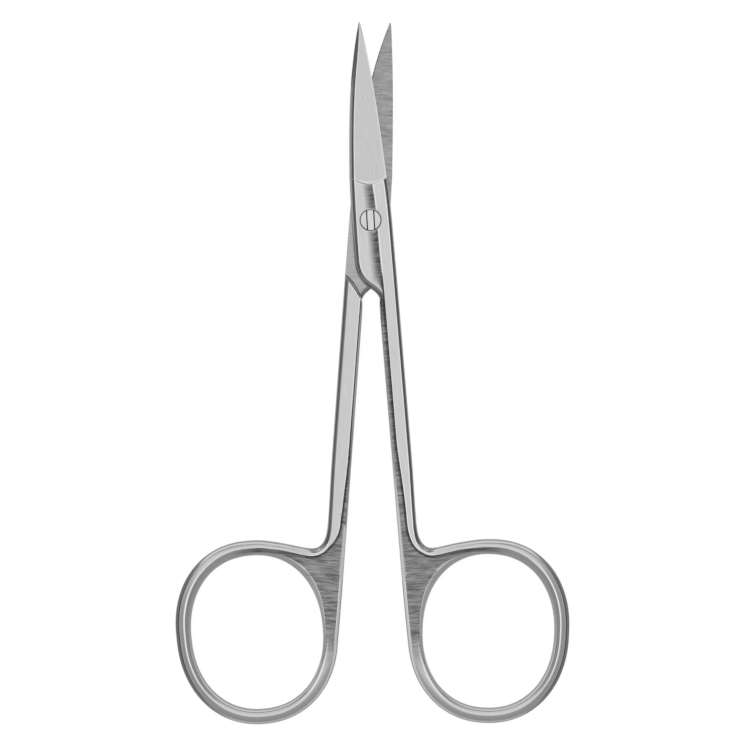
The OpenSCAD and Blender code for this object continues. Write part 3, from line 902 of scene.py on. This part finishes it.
def gray(tree, level):
    return new_node(tree, "ShaderNodeCombineColor", {"Red": level, "Green": level, "Blue": level}).outputs[0]


# Tones of the steel: their swing in the fine grain and in the coarse lines, and the tone of the painted
# highlight along edges
fine_swing = 0.03
coarse_swing = 0.16
painted_highlight_tone = 0.9
groove_d = 0.004
# Grinding marks: lines to the unit, length of a line, and softness
FINE_GRAIN = (9, 2.5, 0.6)
COARSE_LINES = (4, 2.6, 0.7)


def ground_steel(name, fine_tone, coarse_and_shade_tone, turn):
    """Stainless steel with fine lengthwise grain, and coarse lines across where it is hollow ground. The
    coarse parts get a darker colour that is partly painted shade, and edges carry a painted highlight.
    """
    steel, tree, shader = bare_steel(name)
    grain = new_node(tree, "ShaderNodeUVMap", uv_map="grain")
    here = new_node(tree, "ShaderNodeTexCoord")
    coarse_and_shade = new_node(tree, "ShaderNodeAttribute", attribute_name="coarse_and_shade")
    painted_highlight = new_node(tree, "ShaderNodeAttribute", attribute_name="painted_highlight")

    def choice(a, b, by=coarse_and_shade):
        made = new_node(tree, "ShaderNodeMix", {"Factor": by.outputs["Fac"], "A": a, "B": b},
                        data_type="FLOAT", clamp_factor=False)
        return made.outputs["Result"]

    # The coarse parts get a darker colour, partly for real coarse grinding and partly as painted shade
    marks = choice(marks_on(tree, grain.outputs[0], *FINE_GRAIN),
                   marks_on(tree, in_millimetres(tree, here, math.radians(90) - turn), *COARSE_LINES))
    tone = new_node(tree, "ShaderNodeMapRange",
                    {"Value": marks, "To Min": choice(fine_tone - fine_swing, coarse_and_shade_tone - coarse_swing),
                     "To Max": choice(fine_tone + fine_swing, coarse_and_shade_tone + coarse_swing)})
    bump = new_node(tree, "ShaderNodeBump", {"Strength": choice(0.12, 0.5), "Distance": groove_d * MM,
                                             "Height": marks})
    # Painted highlight: the base colour is raised to a light tone along edges
    feed(tree, shader, {"Base Color": gray(tree, choice(tone.outputs["Result"], painted_highlight_tone, painted_highlight)),
                        "Roughness": choice(0.24, 0.4), "Normal": bump.outputs["Normal"]})
    return steel


lower_steel = ground_steel("satin_steel_lower", 0.6, 0.28, -lower_rest)
half_values = {"Stem bore radius": stem_bore, "Head bore radius": 2 * stem_bore,
               "Head seat height": joint_t, "Steel": lower_steel}
forging = half_tree()
lower_place = (Matrix.Rotation(-lower_rest, 4, "Z") @ Matrix.Translation((0, 0, mid_z))
               @ Matrix.Rotation(math.pi, 4, "Y"))
lower_half = made_plain("lower_forging", half_plan(lower_blade, lower_lean, "lower_plan"), forging,
                        half_values, half_crease, lower_place)
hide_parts("lower_half")
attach(lower_half, "lower_body")

# Upper half
# The same forging turned over, so its fluted outer face looks up. Its blade is a little slimmer,
# and its box has a round seat sunk into it for the head of the screw.
upper_rest = math.radians(4.73)
upper_lean = math.radians(6.5)
upper_blade = {"spine": 2.25, "taper": 1.45, "sweep": 1.36, "edge_taper": 1.0}
head_bore = 1.48
seat_z = 0.45

upper_steel = ground_steel("satin_steel_upper", 0.61, 0.28, upper_rest)
half_values = {"Stem bore radius": stem_bore, "Head bore radius": head_bore,
               "Head seat height": seat_z, "Steel": upper_steel}
upper_place = Matrix.Rotation(upper_rest, 4, "Z") @ Matrix.Translation((0, 0, mid_z))
upper_half = made_plain("upper_forging", half_plan(upper_blade, upper_lean, "upper_plan"), forging,
                        half_values, half_crease, upper_place)
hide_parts("upper_half")
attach(upper_half, "upper_body")

# Pivot screw
# A turned screw of stainless steel. Its flat head lies in the upper half's seat, with a wide,
# shallow slot, and its stem ends level with the lower half's outer face.
screw_low, screw_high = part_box("pivot_screw")
head_r = (screw_high.x - screw_low.x) / 2 / MM
head_top = screw_high.z / MM
head_t = 0.46
head_round = 0.12
stem_r = 0.8
slot_w = 1.08
slot_d = 0.22
slot_slope = 0.16
slot_turn = math.radians(3)
screw_crease = 35
# Marks of the last cut: lines to the millimetre, length of a line, and softness
LAST_CUT = (7, 1.5, 0.6)
# Radii between which the painted shade in the seam round the head comes in, how dark that painted shade
# leaves the steel, and how dark the painted shade on the slot's walls is
seam_shade_from = head_r - 0.14
seam_shade_to = head_r - 0.06
seam_shade_dark = 0.1
slot_wall_shade = 0.12


def screw_tree():
    """Turns the screw's profile ring by ring, and cuts the slot across its head."""
    sizes = ("Head radius", "Head thickness", "Head top", "Rounding", "Stem radius",
             "Slot width", "Slot depth", "Slot slope", "Slot angle")
    tree, given, result = new_group(
        "slotted_screw", "GeometryNodeTree",
        {"Start": "Geometry", **{label: "Float" for label in sizes}, "Steel": "Material"},
        {"Screw": "Geometry"})

    def sum_of(operation, a, b):
        return new_node(tree, "ShaderNodeMath", {0: a, 1: b}, operation=operation).outputs[0]

    def vector(x, y, z):
        return new_node(tree, "ShaderNodeCombineXYZ", {0: x, 1: y, 2: z}).outputs[0]

    head, top, rounding, stem = (given[label] for label in ("Head radius", "Head top", "Rounding",
                                                            "Stem radius"))
    seat = sum_of("SUBTRACT", top, given["Head thickness"])
    profile = [(stem, 0.0), (stem, seat), (sum_of("SUBTRACT", head, rounding), seat),
               (head, sum_of("ADD", seat, rounding)), (head, sum_of("SUBTRACT", top, rounding))]
    for turn in (30, 60, 90):
        back = sum_of("MULTIPLY", rounding, 1 - math.cos(math.radians(turn)))
        rise = sum_of("MULTIPLY", rounding, math.sin(math.radians(turn)) - 1)
        profile.append((sum_of("SUBTRACT", head, back), sum_of("ADD", top, rise)))

    # The blank has one ring of points for each point of the profile, one unit apart
    rings = len(profile)
    blank = new_node(tree, "GeometryNodeMeshCylinder", {"Vertices": ROUND_SIDES, "Side Segments": rings - 1,
                                                        "Radius": 1, "Depth": rings - 1})
    spot = new_node(tree, "GeometryNodeInputPosition")
    parts = new_node(tree, "ShaderNodeSeparateXYZ", {0: spot.outputs[0]})
    x, y, z = parts.outputs
    ring = new_node(tree, "FunctionNodeFloatToInt", {0: sum_of("ADD", z, (rings - 1) / 2 + 0.5)},
                    rounding_mode="FLOOR")

    def profile_value(which):
        made = new_node(tree, "GeometryNodeIndexSwitch", data_type="FLOAT")
        while len(made.index_switch_items) < rings:
            made.index_switch_items.new()
        feed(tree, made, {0: ring.outputs[0], **{k + 1: point[which] for k, point in enumerate(profile)}})
        return made.outputs[0]

    radius, height = profile_value(0), profile_value(1)
    place = vector(sum_of("MULTIPLY", x, radius), sum_of("MULTIPLY", y, radius), height)
    turned = new_node(tree, "GeometryNodeSetPosition", {"Geometry": blank.outputs["Mesh"], "Position": place})
    slot_size = vector(given["Slot width"], sum_of("MULTIPLY", head, 3.0),
                       sum_of("MULTIPLY", given["Slot depth"], 2.0))
    bar = new_node(tree, "GeometryNodeMeshCube", {"Size": slot_size})
    half_depth = sum_of("MULTIPLY", given["Slot depth"], 0.5)
    slope = sum_of("DIVIDE", given["Slot slope"], sum_of("MULTIPLY", given["Slot width"], half_depth))
    widened = sum_of("MULTIPLY", x, sum_of("ADD", sum_of("MULTIPLY", z, slope), 1.0))
    tapered = new_node(tree, "GeometryNodeSetPosition", {"Geometry": bar.outputs["Mesh"],
                                                         "Position": vector(widened, y, z)})
    laid = new_node(tree, "GeometryNodeTransform",
                    {"Geometry": tapered.outputs[0], "Translation": vector(0.0, 0.0, top),
                     "Rotation": vector(0.0, 0.0, given["Slot angle"])})
    slotted = new_node(tree, "GeometryNodeMeshBoolean", {0: turned.outputs[0], 1: laid.outputs[0]},
                       operation="DIFFERENCE")
    finish_tree(tree, slotted.outputs[0], given["Steel"], result)
    return tree


def screw_finish():
    """Polished steel with the faint lines of the last cut. Shade is painted into its colour in the seam
    round its head and wherever it doesn't look up, as on the slot's walls."""
    steel, tree, shader = bare_steel("screw_steel")
    here = new_node(tree, "ShaderNodeTexCoord")
    marks = marks_on(tree, in_millimetres(tree, here, -slot_turn), *LAST_CUT)
    tone = new_node(tree, "ShaderNodeMapRange", {"Value": marks, "To Min": 0.6, "To Max": 0.74})
    facing = new_node(tree, "ShaderNodeSeparateXYZ", {0: here.outputs["Normal"]})
    # Painted shade wherever the surface doesn't face up, as on the slot's walls
    wall_shade = new_node(tree, "ShaderNodeMapRange", {"Value": facing.outputs["Z"], "From Min": 0.7,
                                                      "From Max": 0.97, "To Min": slot_wall_shade})
    # Painted shade in the seam between the head and its seat
    flat_place = new_node(tree, "ShaderNodeVectorMath", {0: here.outputs["Object"], 1: (1 / MM, 1 / MM, 0)},
                          operation="MULTIPLY")
    off_axis = new_node(tree, "ShaderNodeVectorMath", {0: flat_place.outputs[0]}, operation="LENGTH")
    seam_shade_ramp = new_node(tree, "ShaderNodeMapRange", {"Value": off_axis.outputs["Value"], "From Min": seam_shade_to,
                                                     "From Max": seam_shade_from, "To Min": seam_shade_dark})
    unshaded_share = new_node(tree, "ShaderNodeMath", {0: wall_shade.outputs["Result"], 1: seam_shade_ramp.outputs["Result"]},
                     operation="MULTIPLY")
    shade = new_node(tree, "ShaderNodeMath", {0: tone.outputs["Result"], 1: unshaded_share.outputs[0]},
                     operation="MULTIPLY")
    feed(tree, shader, {"Base Color": gray(tree, shade.outputs[0]), "Roughness": 0.25})
    return steel


screw_values = {"Head radius": head_r, "Head thickness": head_t, "Head top": head_top, "Rounding": head_round,
                "Stem radius": stem_r, "Slot width": slot_w, "Slot depth": slot_d, "Slot slope": slot_slope,
                "Slot angle": slot_turn, "Steel": screw_finish()}
screw = made_plain("slotted_screw", bpy.data.meshes.new("screw_start"), screw_tree(), screw_values,
                   screw_crease, Matrix.Identity(4))
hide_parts("pivot_screw")
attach(screw, "lower_body")

# Table, lights and camera
# The scissors lie on a white table under one large soft lamp, in a room that is dim near the
# horizon. The camera looks straight down.
table_half = 3.0
table_drop = 0.01 * MM
table_mesh = bpy.data.meshes.new("table")
table_mesh.from_pydata([(-table_half, -table_half, 0), (table_half, -table_half, 0),
                        (table_half, table_half, 0), (-table_half, table_half, 0)], [], [(0, 1, 2, 3)])
table = bpy.data.objects.new("table", table_mesh)
table.location.z = -table_drop
bpy.context.scene.collection.objects.link(table)


def table_white():
    """White paper that stays white where it is seen or mirrored."""
    white = bpy.data.materials.new("table_white")
    white.use_nodes = True
    tree = white.node_tree
    tree.nodes.remove(tree.nodes["Principled BSDF"])
    path = new_node(tree, "ShaderNodeLightPath")
    level = 0
    for ray, strength in (("Is Camera Ray", 0.9), ("Is Glossy Ray", 0.4), ("Is Transmission Ray", 0.9)):
        share = new_node(tree, "ShaderNodeMath", {0: path.outputs[ray], 1: strength, 2: level},
                         operation="MULTIPLY_ADD")
        level = share.outputs[0]
    paper = new_node(tree, "ShaderNodeBsdfDiffuse", {"Color": (0.25, 0.25, 0.25, 1)})
    glow = new_node(tree, "ShaderNodeEmission", {"Strength": level})
    both = new_node(tree, "ShaderNodeAddShader", {0: paper.outputs[0], 1: glow.outputs[0]})
    feed(tree, tree.nodes["Material Output"], {"Surface": both.outputs[0]})
    return white


table_mesh.materials.append(table_white())

lamp_data = bpy.data.lights.new("soft_lamp", "AREA")
lamp_data.shape = "DISK"
lamp_data.size = 0.76
lamp_data.energy = 0.8
lamp = bpy.data.objects.new("soft_lamp", lamp_data)
lamp.matrix_world = Matrix.Translation((-0.04, 0.13, 0.62))
bpy.context.scene.collection.objects.link(lamp)

# The room is dark at the horizon, lighter at its two ends and overhead, and white for the camera
room = bpy.data.worlds.new("room")
room.use_nodes = True
bpy.context.scene.world = room
air = room.node_tree
way = new_node(air, "ShaderNodeTexCoord")
heading = new_node(air, "ShaderNodeSeparateXYZ", {0: way.outputs["Generated"]})
endways = new_node(air, "ShaderNodeMath", {0: heading.outputs["Y"]}, operation="ABSOLUTE")
horizon = new_node(air, "ShaderNodeMapRange", {"Value": endways.outputs[0], "From Min": 0.4, "To Min": 0.05,
                                               "To Max": 0.28})
overhead = new_node(air, "ShaderNodeMapRange", {"Value": heading.outputs["Z"], "From Min": 0.1,
                                                "From Max": 0.9, "To Min": horizon.outputs["Result"],
                                                "To Max": 0.45}, interpolation_type="SMOOTHSTEP")
ray = new_node(air, "ShaderNodeLightPath")
seen = new_node(air, "ShaderNodeMix", {"Factor": ray.outputs["Is Camera Ray"],
                                       "A": overhead.outputs["Result"], "B": 1}, data_type="FLOAT")
feed(air, air.nodes["Background"], {"Color": (1, 1, 1, 1), "Strength": seen.outputs["Result"]})

pixel = 0.12821 * MM
picture_w = 750 * pixel
centre_x = 4.4 * pixel
centre_y = -154.6 * pixel
camera_data = bpy.data.cameras.new("camera")
camera_data.lens = 150
camera_data.sensor_width = 36
top_view_from = picture_w * camera_data.lens / camera_data.sensor_width
camera_data.clip_start = 0.01
camera_data.clip_end = 10
camera = bpy.data.objects.new("camera", camera_data)
camera.matrix_world = Matrix.Translation((centre_x, centre_y, top_view_from + joint_t * MM / 2))
bpy.context.scene.collection.objects.link(camera)
bpy.context.scene.camera = camera
bpy.context.scene.view_settings.view_transform = "Standard"
